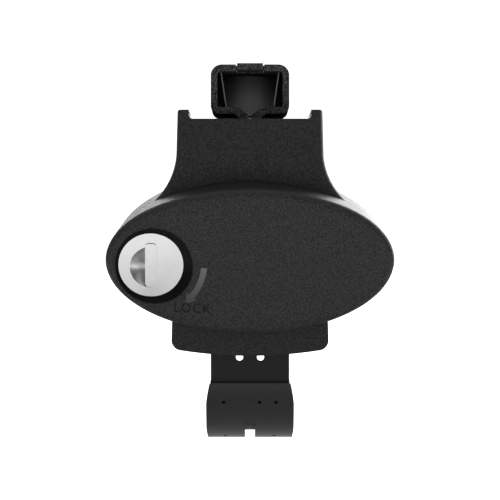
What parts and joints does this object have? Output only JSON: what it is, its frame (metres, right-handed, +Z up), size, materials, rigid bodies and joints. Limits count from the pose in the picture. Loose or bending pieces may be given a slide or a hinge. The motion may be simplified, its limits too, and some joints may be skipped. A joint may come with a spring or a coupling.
{
  "type": "roof bar foot",
  "caption": "Roof bar foot with an oval lockable cover, a C-shaped clamp for the bar and a rubber covered steel strap that a hidden bolt draws tight round a roof rail.",
  "frame": {"origin": "on the axis of the roof rail, midway along the foot", "axes": "+X along the rail, +Y from the cover to the rear along the roof bar, +Z up"},
  "size_m": [0.0988, 0.0721, 0.131],
  "materials": {
    "black_plastic": "grained",
    "cover_plastic": "satin",
    "black_steel": "powder coat",
    "zinc_steel": "zinc plated",
    "rubber": "matt",
    "silver": "satin"
  },
  "bodies": {
    "base": {"housing": "black_plastic", "rail_pad": "rubber", "chassis": "zinc_steel", "chassis_screws": "zinc_steel", "anchor_pin": "zinc_steel", "anchor_pin_clips": "zinc_steel"},
    "clamp": {"bar_clamp": "black_steel", "clamp_plug": "black_plastic"},
    "nut": {"trunnion_nut": "zinc_steel"},
    "tensioner": {"tension_pin": "zinc_steel", "tension_pin_clips": "zinc_steel", "thrust_washer": "zinc_steel", "draw_spring": "zinc_steel"},
    "bolt": {"tension_bolt": "zinc_steel"},
    "strap": {"strap_band": "black_steel", "strap_sleeve": "rubber"},
    "cover": {"front_cover": "cover_plastic", "lock_sleeve": "black_plastic"},
    "lock": {"lock_knob": "silver", "lock_cam": "zinc_steel", "cam_screw": "zinc_steel"}
  },
  "joints": [
    {"name": "tension_slide", "type": "slide", "parent": "base", "child": "tensioner", "axis": [0, -0.7292, -0.6843], "range_m": [0, 0.008], "deforming": ["draw_spring"]},
    {"name": "bolt_spin", "type": "hinge", "parent": "tensioner", "child": "bolt", "pos_m": [0, -0.01225, 0.056], "axis": [0, -0.7292, -0.6843], "range_deg": [0, 2880]},
    {"name": "strap_swing", "type": "hinge", "parent": "base", "child": "strap", "pos_m": [0, 0.02168, 0.014], "axis": [1, 0, 0], "range_deg": [0, 8.5]},
    {"name": "nut_slide", "type": "slide", "parent": "base", "child": "nut", "axis": [0, -0.7292, -0.6843], "range_m": [0, 0.0022], "stiffness_N_per_m": 600, "springref_m": -0.002, "deforming": ["draw_spring"]},
    {"name": "clamp_draw", "type": "slide", "parent": "base", "child": "clamp", "axis": [0, 0, -1], "range_m": [0, 0.00151], "stiffness_N_per_m": 400, "springref_m": -0.002},
    {"name": "cover_lift_off", "type": "slide", "parent": "base", "child": "cover", "axis": [0, -1, 0], "range_m": [0, 0.07]},
    {"name": "lock_turn", "type": "hinge", "parent": "cover", "child": "lock", "pos_m": [-0.0339, -0.03234, 0.03917], "axis": [0, -0.9681, -0.2504], "range_deg": [0, 90]}
  ],
  "couplings": [
    {"joint": "bolt_spin", "follows": "tension_slide", "rad_per_m": 6283.2},
    {"joint": "strap_swing", "follows": "tension_slide", "rad_per_m": 18.538},
    {"joint": "clamp_draw", "follows": "nut_slide", "ratio": 0.68432}
  ]
}
